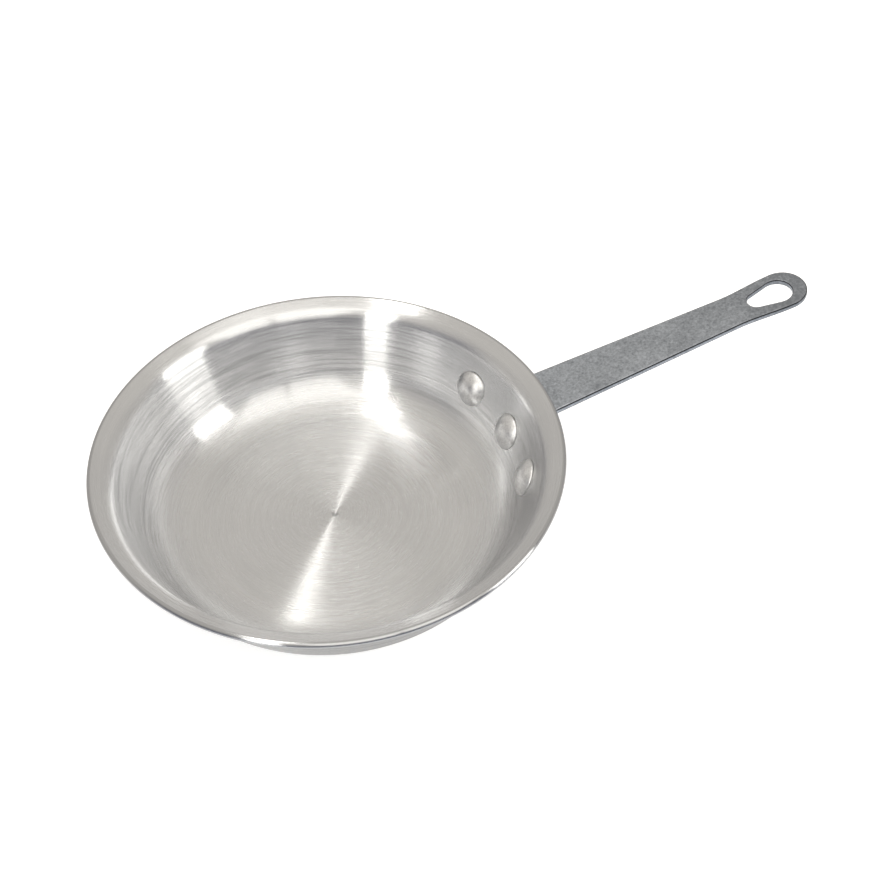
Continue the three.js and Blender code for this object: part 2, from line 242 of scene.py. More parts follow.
class Finishes(bpy.types.PropertyGroup):
    """Colours and gloss of the metals"""

    pan_light: colour("Pan, light", "Bright turning marks", 0.876, 0.88, 0.888)
    pan_dark: colour("Pan, dark", "Dull turning marks", 0.62, 0.624, 0.632)
    # Painted shade: darkens the rim's edge, the centre mark and a patch on the upper wall beside the left
    # rivet
    pan_painted_shade: colour("Pan, worn", "Rim edge, centre mark and dull place", 0.54, 0.545, 0.555)
    polish_roughness: share("Pan polish, roughness", "Tops of the turning marks", 0.19)
    polish_brushing: share("Pan polish, brushing", "How strongly the tops spread the gloss", 1.0)
    groove_roughness: share("Pan grooves, roughness", "Sides of the turning marks", 0.27)
    groove_brushing: share("Pan grooves, brushing", "How strongly the sides spread the gloss", 1.0)
    groove_depth: length("Pan grooves, depth", "Depth of the finest turning marks", 0.10 * MM)
    floor_grooves: share("Floor grooves", "Part of the floor that the sides of the marks take up", 0.55)
    wall_grooves: share("Wall grooves", "Part of the wall that the sides of the marks take up", 0.22)
    handle_light: colour("Handle, light", "High grains of the plating", 0.56, 0.595, 0.645)
    handle_dark: colour("Handle, dark", "Low grains of the plating", 0.27, 0.29, 0.32)
    # Painted dark reflection: the dark line along the strip's upper edge
    handle_painted_reflection: colour("Handle, edge", "Line along the strip's upper edge", 0.05, 0.05, 0.055)
    handle_roughness: share("Handle roughness", "Mean of the plating", 0.30)
    rivet_light: colour("Rivet, light", "Bright metal of the heads", 0.95, 0.95, 0.945)
    rivet_dark: colour("Rivet, dark", "Dull places of the heads", 0.62, 0.62, 0.625)
    rivet_roughness: share("Rivet roughness", "Mean of the heads", 0.36)


class StudioSizes(bpy.types.PropertyGroup):
    """Camera, lights and floor"""

    camera_place: FloatVectorProperty(
        name="Camera place", description="Where the camera stands", subtype="TRANSLATION",
        unit="LENGTH", default=(-92.5 * MM, -359.5 * MM, 434.6 * MM),
    )
    camera_pitch: angle("Camera pitch", "How far the camera looks down", 46.57)
    camera_heading: angle("Camera heading", "Clockwise from the +Y axis", 22.34)
    camera_lens: FloatProperty(
        name="Lens", description="Focal length on a 36 mm sensor", default=50.33, unit="CAMERA"
    )
    floor_colour: colour("Floor", "Pale floor", 0.93, 0.93, 0.93)
    floor_glow: share("Floor glow", "Light from below through the floor", 0.55)
    room_low: colour("Room, low", "Wall of the room", 0.05, 0.06, 0.10)
    room_high: colour("Room, high", "Ceiling of the room", 0.66, 0.63, 0.585)
    room_under: colour("Room, under", "Shaded table under the pan", 0.58, 0.57, 0.55)
    back_light: strength("Back light", "Brightness of the narrow window high at the back", 8)
    top_light: strength("Top light", "Brightness of the two boxes over the camera", 0.75)
    side_light: strength("Side lights", "Brightness of the low strips on both sides", 2.1)


class FryingPanSettings(bpy.types.PropertyGroup):
    """Everything that can be set on the pan"""

    pan: PointerProperty(type=PanSizes)
    handle: PointerProperty(type=HandleSizes)
    rivets: PointerProperty(type=RivetSizes)
    finishes: PointerProperty(type=Finishes)
    studio: PointerProperty(type=StudioSizes)


# Lines and arcs: a point is (radius, height)

def polar(turn, size=1.0):
    """A point at a turn from the level, at a distance."""
    return Vector((math.cos(turn), math.sin(turn))) * size


def arc(centre, radius, start, end, steps):
    """Points along an arc, with both ends."""
    return [centre + polar(start + (end - start) * i / steps, radius) for i in range(steps + 1)]


def between(start, end, steps):
    """Points along a straight line, without its ends."""
    return [start.lerp(end, i / steps) for i in range(1, steps)]


def smoothstep(value, low, high):
    """A soft step from 0 at low to 1 at high."""
    part = min(max((value - low) / (high - low), 0), 1)
    return part * part * (3 - 2 * part)


class WallLines:
    """Inside faces of wall and lip, as two straight lines that meet at the crease."""

    def __init__(self, pan):
        half = pan.sheet / 2
        self.rim = Vector((pan.rim_radius - half, pan.height - half))
        self.lip_end = self.rim + polar(pan.lip_slope + QUARTER, half)
        crease_radius = pan.rim_radius - pan.lip_width
        drop = (self.lip_end.x - crease_radius) * math.tan(pan.lip_slope)
        self.crease = Vector((crease_radius, self.lip_end.y - drop))
        self.up = polar(pan.wall_slope)
        self.out = polar(pan.wall_slope - QUARTER)
        self.lip_out = polar(pan.lip_slope - QUARTER)

    def outside(self, from_wall, from_lip):
        """The point that lies these distances outside the two lines."""
        faces = Matrix((self.out, self.lip_out))
        return self.crease + faces.inverted() @ Vector((from_wall, from_lip))

    def on_wall(self, down, out):
        """A point down the wall from the crease, and out from its inside face."""
        return self.crease - self.up * down + self.out * out


def pan_profile(pan):
    """Section of the pan, from the middle of its underside round the rim to the middle of its floor."""
    lines = WallLines(pan)
    corner = lines.crease.x - (lines.crease.y - pan.sheet) / math.tan(pan.wall_slope)
    floor_radius = corner - pan.heel_radius * math.tan(pan.wall_slope / 2)
    heel = Vector((floor_radius, pan.sheet + pan.heel_radius))
    crease = lines.outside(pan.crease_radius, pan.crease_radius)
    wall_back = pan.wall_slope + QUARTER
    lip_back = pan.lip_slope + QUARTER
    half = pan.sheet / 2

    base = Vector((0, 0))
    outer_heel = arc(heel, pan.heel_radius + pan.sheet, -QUARTER, pan.wall_slope - QUARTER, HEEL_STEPS)
    outer_crease = arc(crease, pan.crease_radius - pan.sheet, wall_back, lip_back, CREASE_STEPS)
    rim = arc(lines.rim, half, pan.lip_slope - QUARTER, lip_back, RIM_STEPS)
    inner_crease = arc(crease, pan.crease_radius, lip_back, wall_back, CREASE_STEPS)
    inner_heel = arc(heel, pan.heel_radius, pan.wall_slope - QUARTER, -QUARTER, HEEL_STEPS)
    mark_edge = Vector((pan.mark_radius, pan.sheet))
    mark = [
        Vector((
            pan.mark_radius * (1 - i / MARK_STEPS),
            pan.sheet - pan.mark_depth * smoothstep(i, 0, MARK_STEPS),
        ))
        for i in range(MARK_STEPS + 1)
    ]
    return [
        base, *between(base, outer_heel[0], FLOOR_RINGS), *outer_heel,
        *between(outer_heel[-1], outer_crease[0], WALL_STEPS), *outer_crease,
        *between(outer_crease[-1], rim[0], LIP_STEPS), *rim,
        *between(rim[-1], inner_crease[0], LIP_STEPS), *inner_crease,
        *between(inner_crease[-1], inner_heel[0], WALL_STEPS), *inner_heel,
        *between(inner_heel[-1], mark_edge, FLOOR_RINGS), *mark,
    ]


class StripLine:
    """Middle of the handle's thickness: up the wall, round the bend under the lip, out along the strip."""

    def __init__(self, pan, handle):
        self.lines = WallLines(pan)
        half = handle.sheet / 2
        self.saddle_out = pan.sheet + handle.wall_gap + half
        self.bend_radius = handle.bend_radius - half
        self.bend_centre = self.lines.outside(
            pan.sheet + handle.wall_gap + handle.bend_radius,
            pan.sheet + handle.lip_gap + handle.bend_radius,
        )
        self.bend_start = pan.wall_slope + QUARTER
        self.bend_length = self.bend_radius * (pan.wall_slope - handle.rise)
        self.bend_depth = -(self.bend_centre - self.lines.crease).dot(self.lines.up)
        self.way = polar(handle.rise)
        self.start = self.bend_centre + polar(handle.rise + QUARTER, self.bend_radius)
        self.tip = self.bend_length + (handle.reach - self.start.x) / self.way.x
        self.flat_from = self.bend_length + handle.flatten

    def at(self, along):
        """Radius and height, a distance along from the foot of the bend."""
        if along < 0:
            return self.lines.on_wall(self.bend_depth - along, self.saddle_out)
        if along < self.bend_length:
            return self.bend_centre + polar(self.bend_start - along / self.bend_radius, self.bend_radius)
        return self.start + self.way * (along - self.bend_length)

    def wrap(self, along):
        """How far the strip follows the pan's round: all on the wall, none on the flat strip."""
        return 1 - smoothstep(along, 0, self.flat_from)


def strip_rows(line, handle, rivets):
    """Half width and place along the strip of each row, drawn in from the edges by their rounding."""
    edge = handle.edge_radius
    root = handle.root_width / 2
    neck = handle.neck_width / 2
    out = QUARTER - handle.shoulder_slope
    ear = Vector((rivets.pitch, line.bend_depth - rivets.depth + rivets.bow))
    ear_top = ear + polar(out, handle.ear_radius)
    corner = ear_top.y + (ear_top.x - root) * math.tan(handle.shoulder_slope)
    fillet = Vector((root + handle.neck_fillet, corner + handle.neck_fillet * math.tan(out / 2)))
    neck_along = line.tip - handle.neck_from_tip
    eye = Vector((0, line.tip - handle.eye_radius))

    ear_arc = arc(ear, handle.ear_radius - edge, -QUARTER, out, EAR_STEPS)
    fillet_arc = arc(fillet, handle.neck_fillet + edge, out + math.pi, math.pi, FILLET_STEPS)
    taper_start = Vector((root - edge, max(fillet.y, line.bend_length)))
    taper_end = Vector((neck - edge, neck_along))
    flare = [
        Vector((
            neck - edge + (handle.eye_radius - neck) * smoothstep(i, 0, FLARE_STEPS),
            neck_along + (eye.y - neck_along) * i / FLARE_STEPS,
        ))
        for i in range(1, FLARE_STEPS)
    ]
    eye_arc = arc(eye, handle.eye_radius - edge, 0, QUARTER, EYE_STEPS)
    rows = [
        *ear_arc, *between(ear_arc[-1], fillet_arc[0], SHOULDER_STEPS), *fillet_arc,
        *between(taper_start, taper_end, STRIP_STEPS), taper_end, *flare, *eye_arc,
    ]
    bend = [line.bend_length * i / BEND_STEPS for i in range(BEND_STEPS + 1)]
    flatten = [line.bend_length + handle.flatten * i / FLATTEN_STEPS for i in range(1, FLATTEN_STEPS + 1)]
    for along in bend + flatten:
        add_row(rows, along)
    return rows


def add_row(rows, along):
    """Adds a row where the strip is formed, unless one lies close by."""
    after = next(i for i, row in enumerate(rows) if row.y > along)
    low, high = rows[after - 1], rows[after]
    if min(along - low.y, high.y - along) > LEAST_ROW_STEP:
        rows.insert(after, low.lerp(high, (along - low.y) / (high.y - low.y)))


# Modelling steps

def in_section(point):
    """A point of a section in the plane of the pan's axis and handle."""
    return Vector((point.x, 0, point.y))


def start_vertex(name, place):
    """A new mesh in edit mode that is one selected vertex."""
    bpy.ops.object.select_all(action="DESELECT")
    bpy.ops.mesh.primitive_plane_add(size=MM)
    bpy.context.object.name = name
    bpy.context.object.data.name = name
    bpy.ops.object.mode_set(mode="EDIT")
    bpy.ops.mesh.merge(type="CENTER")
    bpy.ops.transform.translate(value=place)
    return bpy.context.object


def draw_on(start, points):
    """Extrudes the selection from place to place."""
    for point in points:
        bpy.ops.mesh.extrude_region_move(TRANSFORM_OT_translate={"value": point - start})
        start = point


def close_skin():
    """Welds the whole mesh in edit mode and points its faces outwards."""
    bpy.ops.mesh.select_all(action="SELECT")
    bpy.ops.mesh.remove_doubles(threshold=WELD)
    bpy.ops.mesh.normals_make_consistent(inside=False)


def turn(name, profile, steps):
    """A solid of revolution about the Z axis."""
    places = [in_section(point) for point in profile]
    piece = start_vertex(name, places[0])
    draw_on(places[0], places[1:])
    bpy.ops.mesh.select_all(action="SELECT")
    bpy.ops.mesh.spin(steps=steps, angle=2 * math.pi, center=(0, 0, 0), axis=(0, 0, 1))
    close_skin()
    bpy.ops.object.mode_set(mode="OBJECT")
    return piece


def modify(piece, kind, **settings):
    """Adds a modifier and applies it."""
    modifier = piece.modifiers.new(kind.title(), kind)
    for key, value in settings.items():
        setattr(modifier, key, value)
    bpy.context.view_layer.objects.active = piece
    bpy.ops.object.modifier_apply(modifier=modifier.name)


def remove(helper):
    """Deletes a helper object with its mesh."""
    bpy.data.meshes.remove(helper.data)


def finish_piece(piece, node, material):
    """Smooths a piece, dresses it and lets it stand for its node."""
    bpy.ops.object.select_all(action="DESELECT")
    piece.select_set(True)
    bpy.context.view_layer.objects.active = piece
    bpy.ops.object.shade_smooth()
    modify(piece, "WEIGHTED_NORMAL", weight=100, keep_sharp=True)
    piece.data.materials.clear()
    piece.data.materials.append(material)
    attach(piece, BODY)
    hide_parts(node)


# Shader maths

class Value:
    """A number in a node tree. Arithmetic on it adds Math nodes."""

    def __init__(self, tree, socket):
        self.tree = tree
        self.socket = socket

    def math(self, operation, *others):
        """The result of a Math node on this number and others."""
        numbers = dict(enumerate([self, *others]))
        return self.tree.add("ShaderNodeMath", {"operation": operation}, numbers)

    def __add__(self, other):
        return self.math("ADD", other)

    __radd__ = __add__

    def __sub__(self, other):
        return self.math("SUBTRACT", other)

    def __mul__(self, other):
        return self.math("MULTIPLY", other)

    def __truediv__(self, other):
        return self.math("DIVIDE", other)

    def __pow__(self, other):
        return self.math("POWER", other)


class Tree:
    """The node tree of a material or of the world."""

    def __init__(self, owner):
        owner.use_nodes = True
        self.nodes = owner.node_tree.nodes
        self.links = owner.node_tree.links
        self.nodes.clear()

    def add(self, kind, settings=None, inputs=None, output=0):
        """A node with its settings, then its sockets' values or links. Gives one of its outputs."""
        node = self.nodes.new(kind)
        for key, value in (settings or {}).items():
            setattr(node, key, value)
        for key, value in (inputs or {}).items():
            if isinstance(value, Value):
                self.links.new(value.socket, node.inputs[key])
            else:
                node.inputs[key].default_value = value
        return Value(self, node.outputs[output]) if node.outputs else None

    def place(self):
        """Object coordinates, as a vector and as three numbers."""
        vector = self.add("ShaderNodeTexCoord", output="Object")
        return vector, *(self.add("ShaderNodeSeparateXYZ", inputs={0: vector}, output=i) for i in range(3))

    def vector(self, x, y, z):
        """A vector from three numbers."""
        return self.add("ShaderNodeCombineXYZ", inputs={0: x, 1: y, 2: z})

    def noise(self, vector, scale, detail=2.0, roughness=0.5):
        """Smooth noise about one half."""
        return self.add(
            "ShaderNodeTexNoise",
            inputs={"Vector": vector, "Scale": scale, "Detail": detail, "Roughness": roughness},
        )

    def mix_colours(self, factor, low, high):
        """A colour between two colours."""
        return self.add(
            "ShaderNodeMix", {"data_type": "RGBA"}, {0: factor, 6: rgba(low), 7: rgba(high)}, output=2
        )

    def ramp(self, value, low, high):
        """A soft step from 0 at low to 1 at high."""
        return self.add(
            "ShaderNodeMapRange", {"interpolation_type": "SMOOTHSTEP"},
            {"Value": value, "From Min": low, "From Max": high},
        )

    def bump(self, height, strength_share, distance):
        """A normal that follows a height."""
        return self.add(
            "ShaderNodeBump",
            inputs={"Height": height, "Strength": strength_share, "Distance": distance},
        )

    def metal(self, inputs):
        """A Principled metal."""
        return self.add("ShaderNodeBsdfPrincipled", inputs={"Metallic": 1.0, **inputs})

    def surface(self, shader):
        """Puts a shader on the material's output."""
        self.add("ShaderNodeOutputMaterial", inputs={"Surface": shader})


def rgba(value):
    """A colour with full alpha, or a link as it is."""
    return value if isinstance(value, Value) else (*value, 1.0)


def new_tree(name):
    """A material and its empty node tree."""
    material = bpy.data.materials.new(name)
    return material, Tree(material)


def turned_aluminium(pan, finishes):
    """Aluminium with fine circular turning marks, a little cloudy, smoother on its wall than on its floor,
    with painted shade on the rim's edge, at the centre mark and beside the left rivet.
    """
    material, tree = new_tree("turned_aluminium")
    place, x, y, z = tree.place()
    radius = (x * x + y * y + ON_THE_AXIS) ** 0.5
    track = radius + z
    side_x, side_y = x / radius, y / radius
    lines = WallLines(pan)

    def drawn_out(closeness, variation):
        """Noise drawn out round the pan."""
        stretched = tree.vector(track * closeness, side_x * variation, side_y * variation)
        return tree.noise(stretched, 1.0, 1.0)

    def from_crease(low, high):
        """A soft step along the pan's section, measured from its crease."""
        return tree.ramp(track, sum(lines.crease) + low, sum(lines.crease) + high)

    groove = drawn_out(*FINE_GROOVES)
    hair = drawn_out(*HAIR_LINES)
    line = drawn_out(*CLEAR_LINES)
    band = drawn_out(*BROAD_BANDS)
    cloud = tree.noise(place, PAN_CLOUD, 3.0)
    marks = hair * HAIR_SHARE + line * CLEAR_SHARE + band * BROAD_SHARE
    lined = tree.ramp(track, *WALL_LINES) - from_crease(*LIP_FADE)
    contrast = FLOOR_CONTRAST + lined * WALL_CONTRAST
    tone = 0.5 + (marks - 0.5) * contrast + (cloud - 0.5) * PAN_CLOUDINESS
    polished = tree.mix_colours(tone, finishes.pan_dark, finishes.pan_light)

    # Painted shade: a darker patch on the upper wall beside the left rivet, standing in for a dark reflection
    painted_shade_way = polar(PAINTED_SHADE_AZIMUTH)
    beside = tree.ramp(side_x * painted_shade_way.x + side_y * painted_shade_way.y, *PAINTED_SHADE_SPREAD)
    painted_shade_patch = beside * from_crease(*PAINTED_SHADE_FOOT) * from_crease(*PAINTED_SHADE_HEAD)
    turned = tree.mix_colours(painted_shade_patch * PAINTED_SHADE_SHARE, polished, finishes.pan_painted_shade)

    # Painted shade along the rim's edge, which tones down its reflection
    crown = tree.ramp(z, pan.height + RIM_SHADE_FADE[0], pan.height + RIM_SHADE_FADE[1])
    edge = crown * tree.ramp(radius, lines.lip_end.x, lines.lip_end.x + RIM_SHADE_BREADTH)
    # Painted shade at the centre mark: the dimple is darkened in the base colour
    centre_mark_shade = tree.ramp(radius, pan.mark_radius, 0.5 * pan.mark_radius)
    shared = {
        # Base colour takes the painted shade of the rim's edge and of the centre mark
        "Base Color": tree.mix_colours(edge.math("MAXIMUM", centre_mark_shade), turned, finishes.pan_painted_shade),
        "Anisotropic Rotation": ACROSS_THE_MARKS,
    }
    polish = tree.metal({
        **shared,
        "Anisotropic": finishes.polish_brushing,
        "Normal": tree.bump(marks, 1.0, POLISH_DEPTH),
        "Roughness": finishes.polish_roughness - 0.05 + marks * 0.06 + cloud * 0.04,
    })
    grooves = tree.metal({
        **shared,
        "Anisotropic": finishes.groove_brushing,
        "Normal": tree.bump(groove, 1.0, finishes.groove_depth),
        "Roughness": finishes.groove_roughness - 0.05 + marks * 0.1,
    })
    wall = tree.ramp(track, *WALL_POLISH)
    groove_share = finishes.floor_grooves + wall * (finishes.wall_grooves - finishes.floor_grooves)
    tree.surface(tree.add("ShaderNodeMixShader", inputs={0: groove_share, 1: polish, 2: grooves}))
    return material


def plated_steel(line, handle, finishes):
    """Plated steel with a fine pebble grain, darker towards the eye, with a painted dark reflection along the
    strip's upper edge.
    """
    material, tree = new_tree("plated_steel")
    place, x, _, z = tree.place()
    grain = tree.noise(place, PLATING_GRAIN, 3.0, 0.7)
    pebble = tree.noise(place, PLATING_PEBBLE, 2.0)
    cloud = tree.noise(place, PLATING_CLOUD, 3.0)
    spots = (grain - 0.5) * 2.2 + (pebble - 0.5) * 0.9 + (cloud - 0.5) * 0.8
    tone = 0.5 + spots - tree.ramp(x, *EYE_FADE) * EYE_DARKENING
    plating = tree.mix_colours(tone, finishes.handle_dark, finishes.handle_light)

    # Painted dark reflection: a dark line along the strip's upper edge, from part way out along the handle
    tip = line.at(line.tip)
    above = (z - tip.y) * math.cos(handle.rise) - (x - tip.x) * math.sin(handle.rise)
    face = 0.5 * handle.sheet
    foot = tree.ramp(above, face - handle.edge_radius, face - PAINTED_LINE_FOOT * handle.edge_radius)
    top = tree.ramp(above, face - PAINTED_LINE_TOP[0], face - PAINTED_LINE_TOP[1])
    edge = foot * top * tree.ramp(x, tip.x * PAINTED_LINE_START[0], tip.x * PAINTED_LINE_START[1])
    tree.surface(tree.metal({
        "Base Color": tree.mix_colours(edge, plating, finishes.handle_painted_reflection),
        "Roughness": finishes.handle_roughness - 0.08 + grain * 0.1 + cloud * 0.08,
        "Normal": tree.bump(grain * 0.4 + pebble * 0.6, 0.35, PLATING_DEPTH),
    }))
    return material


def rivet_aluminium(finishes):
    """Smooth aluminium with faint hammer marks and rubbed places."""
    material, tree = new_tree("rivet_aluminium")
    place = tree.place()[0]
    grain = tree.noise(place, RIVET_GRAIN, 2.0)
    dent = tree.ramp(tree.noise(place, RIVET_DENTS, 3.0), *RIVET_DENT_FADE)
    tone = 0.35 + (grain - 0.5) * 1.6 + dent * 0.35
    tree.surface(tree.metal({
        "Base Color": tree.mix_colours(tone, finishes.rivet_dark, finishes.rivet_light),
        "Roughness": finishes.rivet_roughness - 0.08 + dent * 0.1 + grain * 0.06,
        "Normal": tree.bump(dent * 0.6 + grain * 0.4, 0.3, RIVET_DEPTH),
    }))
    return material


# Pieces

class PAN_OT_model_shell(bpy.types.Operator):
    """Turns the pan's section into its shell"""

    bl_idname = "frying_pan.model_shell"
    bl_label = "Pan Shell"

    def execute(self, context):
        settings = context.scene.frying_pan
        shell = turn("pan_shell", pan_profile(settings.pan), TURN_STEPS)
        finish_piece(shell, "pan_body", turned_aluminium(settings.pan, settings.finishes))
        return {"FINISHED"}


def wrapped_strip(line, rows):
    """The strip as a thin sheet: rows set along its line, then wrapped round the pan's axis."""
    group = "wrap"
    tools = bpy.context.scene.tool_settings
    first = rows[0]
    width = first.x
    start = in_section(line.at(first.y))
    strip = start_vertex("handle_strip", start - Vector((0, width, 0)))
    draw_on(Vector((0, 0, 0)), [Vector((0, 2 * width, 0))])
    bpy.ops.mesh.select_all(action="SELECT")
    bpy.ops.mesh.subdivide(number_cuts=COLUMNS - 1)
    strip.vertex_groups.new(name=group)
    for row in rows:
        point = line.at(row.y)
        wrap = line.wrap(row.y)
        chord = point.x * math.sin(row.x / point.x)
        across = row.x + (chord - row.x) * wrap
        place = in_section(point)
        if row is not first:
            bpy.ops.mesh.extrude_region_move(TRANSFORM_OT_translate={"value": place - start})
        bpy.ops.transform.resize(value=(1, across / width, 1))
        tools.vertex_group_weight = wrap
        bpy.ops.object.vertex_group_assign()
        start, width = place, max(across, WELD)
    close_skin()
    bpy.ops.object.mode_set(mode="OBJECT")
    return strip, group


class PAN_OT_model_handle(bpy.types.Operator):
    """Forms the strip, rounds its edges and cuts its hanging hole"""

    bl_idname = "frying_pan.model_handle"
    bl_label = "Handle"

    def execute(self, context):
        settings = context.scene.frying_pan
        handle = settings.handle
        line = StripLine(settings.pan, handle)
        rows = strip_rows(line, handle, settings.rivets)
        strip, group = wrapped_strip(line, rows)
        guide = turn("wrap_guide", [line.at(row.y) for row in rows if row.y < 2 * line.flat_from], TURN_STEPS)
        modify(
            strip, "SHRINKWRAP", target=guide, wrap_method="PROJECT", use_project_x=True,
            use_negative_direction=True, project_limit=handle.root_width, vertex_group=group,
        )
        remove(guide)
        self.thicken(strip, handle)
        self.cut_hole(strip, line, handle)
        finish_piece(strip, "handle", plated_steel(line, handle, settings.finishes))
        return {"FINISHED"}

    def thicken(self, strip, handle):
        """Gives the sheet its thickness and a rounded edge all round."""
        rim_slot = 1
        for name in ("face", "rim"):
            strip.data.materials.append(bpy.data.materials.new(name))
        modify(
            strip, "SOLIDIFY", thickness=handle.sheet, offset=0, use_even_offset=True,
            use_quality_normals=True, material_offset_rim=rim_slot,
        )
        bpy.ops.object.mode_set(mode="EDIT")
        bpy.ops.mesh.select_all(action="DESELECT")
        strip.active_material_index = rim_slot
        bpy.ops.object.material_slot_select()
        bpy.ops.mesh.extrude_region_shrink_fatten(
            TRANSFORM_OT_shrink_fatten={"value": handle.edge_radius, "use_even_offset": True}
        )
        bpy.ops.mesh.region_to_loop()
        bpy.ops.mesh.bevel(offset=EDGE_FILL * handle.edge_radius, segments=EDGE_SEGMENTS, affect="EDGES")
        bpy.ops.mesh.select_all(action="SELECT")
        bpy.ops.mesh.normals_make_consistent(inside=False)
        bpy.ops.mesh.dissolve_limited(angle_limit=FLAT_ANGLE)
        bpy.ops.object.mode_set(mode="OBJECT")

    def cut_hole(self, strip, line, handle):
        """Cuts the egg-shaped hole through the eye and rounds its edges."""
        spacing = handle.hole_length - handle.hole_wide - handle.hole_narrow
        wide = line.tip - handle.hole_margin - handle.hole_wide
        bpy.ops.object.select_all(action="DESELECT")
        bpy.ops.mesh.primitive_circle_add(vertices=HOLE_STEPS, radius=handle.hole_wide)
        punch = bpy.context.object
        bpy.ops.object.mode_set(mode="EDIT")
        bpy.ops.mesh.primitive_circle_add(
            vertices=HOLE_STEPS, radius=handle.hole_narrow, location=(-spacing, 0, 0)
        )
        bpy.ops.mesh.select_all(action="SELECT")
        bpy.ops.mesh.convex_hull()
        bpy.ops.mesh.dissolve_limited(angle_limit=FLAT_ANGLE)
        bpy.ops.mesh.select_all(action="SELECT")
        bpy.ops.transform.translate(value=(0, 0, -handle.sheet))
        bpy.ops.mesh.extrude_region_move(TRANSFORM_OT_translate={"value": (0, 0, 2 * handle.sheet)})
        close_skin()
        bpy.ops.object.mode_set(mode="OBJECT")
        punch.location = in_section(line.at(wide))
        punch.rotation_euler = (0, -handle.rise, 0)
        modify(strip, "BOOLEAN", object=punch, operation="DIFFERENCE", solver="EXACT")
        remove(punch)
        bpy.ops.object.mode_set(mode="EDIT")
        bpy.ops.mesh.select_all(action="DESELECT")
        bpy.ops.mesh.edges_select_sharp(sharpness=SHARP_ANGLE)
        bpy.ops.mesh.bevel(offset=handle.hole_edge, segments=EDGE_SEGMENTS - 1, affect="EDGES")
        bpy.ops.object.mode_set(mode="OBJECT")


def dome(radius, rise, base):
    """Points of a round cap from its edge to the axis."""
    sphere = (radius * radius + rise * rise) / (2 * rise)
    centre = Vector((0, base + rise - sphere))
    return arc(centre, sphere, math.acos(radius / sphere), QUARTER, DOME_STEPS)


def rivet_profile(pan, handle, rivets):
    """Section of a rivet along its axis, from the closed head outside to the dome inside the pan."""
    tail_seat = pan.sheet + handle.wall_gap + handle.sheet + rivets.seat_gap
    tail = dome(rivets.tail_radius, rivets.tail_rise - rivets.tail_edge, tail_seat + rivets.tail_edge)
    head = dome(rivets.head_radius, rivets.head_rise - rivets.head_edge, rivets.head_edge)
    return [
        *(Vector((point.x, -point.y)) for point in reversed(tail)),
        Vector((rivets.tail_radius, -tail_seat)),
        Vector((rivets.shank_radius, -tail_seat)),
        Vector((rivets.shank_radius, rivets.seat_gap)),
        Vector((rivets.head_radius, rivets.seat_gap)),
        *head,
    ]


class PAN_OT_model_rivets(bpy.types.Operator):
    """Sets three rivets square to the wall"""

    bl_idname = "frying_pan.model_rivets"
    bl_label = "Rivets"

    def execute(self, context):
        settings = context.scene.frying_pan
        rivets = settings.rivets
        line = StripLine(settings.pan, settings.handle)
        material = rivet_aluminium(settings.finishes)
        hammer = bpy.data.textures.new("hammer_marks", "CLOUDS")
        hammer.noise_scale = rivets.hammer_mark
        profile = rivet_profile(settings.pan, settings.handle, rivets)
        for side, name in ((-1, "right"), (0, "middle"), (1, "left")):
            down = rivets.depth - abs(side) * rivets.bow
            azimuth = side * rivets.pitch / line.at(line.bend_depth - down).x
            seat = line.lines.on_wall(down, 0)
            piece = turn(f"rivet_body_{name}", profile, RIVET_STEPS)
            place = Matrix.Rotation(azimuth, 4, "Z") @ Matrix.Translation(in_section(seat))
            piece.matrix_world = place @ Matrix.Rotation(-settings.pan.wall_slope, 4, "Y")
            self.seat(piece, rivets)
            modify(
                piece, "DISPLACE", texture=hammer, texture_coords="GLOBAL",
                strength=rivets.hammering, mid_level=0.5, vertex_group="dome",
            )
            bpy.ops.object.transform_apply(location=True, rotation=True, scale=True)
            finish_piece(piece, f"rivet_{name}", material)
        return {"FINISHED"}

    def seat(self, piece, rivets):
        """Lays the underside of the head on the curved wall, and marks the dome for its hammering."""
        under = piece.vertex_groups.new(name="under")
        cap = piece.vertex_groups.new(name="dome")
        for vertex in piece.data.vertices:
            if abs(vertex.co.z - rivets.seat_gap) < WELD:
                under.add([vertex.index], 1, "REPLACE")
            elif vertex.co.z > rivets.head_edge + WELD:
                part = (vertex.co.z - rivets.head_edge) / (rivets.head_rise - rivets.head_edge)
                cap.add([vertex.index], smoothstep(part, 0, DOME_FADE), "REPLACE")
        modify(
            piece, "SHRINKWRAP", target=bpy.data.objects["pan_shell"], wrap_method="PROJECT",
            use_project_z=True, use_negative_direction=True, offset=rivets.seat_gap,
            project_limit=rivets.head_radius, vertex_group="under",
        )


# Stage

def from_pan(azimuth, elevation, distance):
    """A place round the pan, at degrees from the handle and above the floor."""
    level = polar(math.radians(azimuth), math.cos(math.radians(elevation)) * distance)
    return Vector((level.x, level.y, math.sin(math.radians(elevation)) * distance))


class Lamp(NamedTuple):
    """A soft rectangular light that faces the pan. Angles are in degrees, lengths in metres."""

    name: str
    strength: str
    azimuth: float
    elevation: float
    distance: float
    width: float
    height: float
    lean: float
    aside: float = 0


LAMPS = (
    Lamp("left_strip", "side_light", -138, 29, 1.3, width=0.28, height=1.4, lean=10),
    Lamp("back_window", "back_light", 115.9, 74.4, 2.0, width=0.17, height=0.60, lean=-60.6),
    Lamp("right_strip", "side_light", -32.5, 22, 1.3, width=0.50, height=1.0, lean=-8),
    Lamp("top_left", "top_light", -80.4, 58, 1.3, width=0.66, height=1.4, lean=-12, aside=-0.30),
    Lamp("top_right", "top_light", -80.4, 58, 1.3, width=0.50, height=1.4, lean=-9, aside=0.32),
)


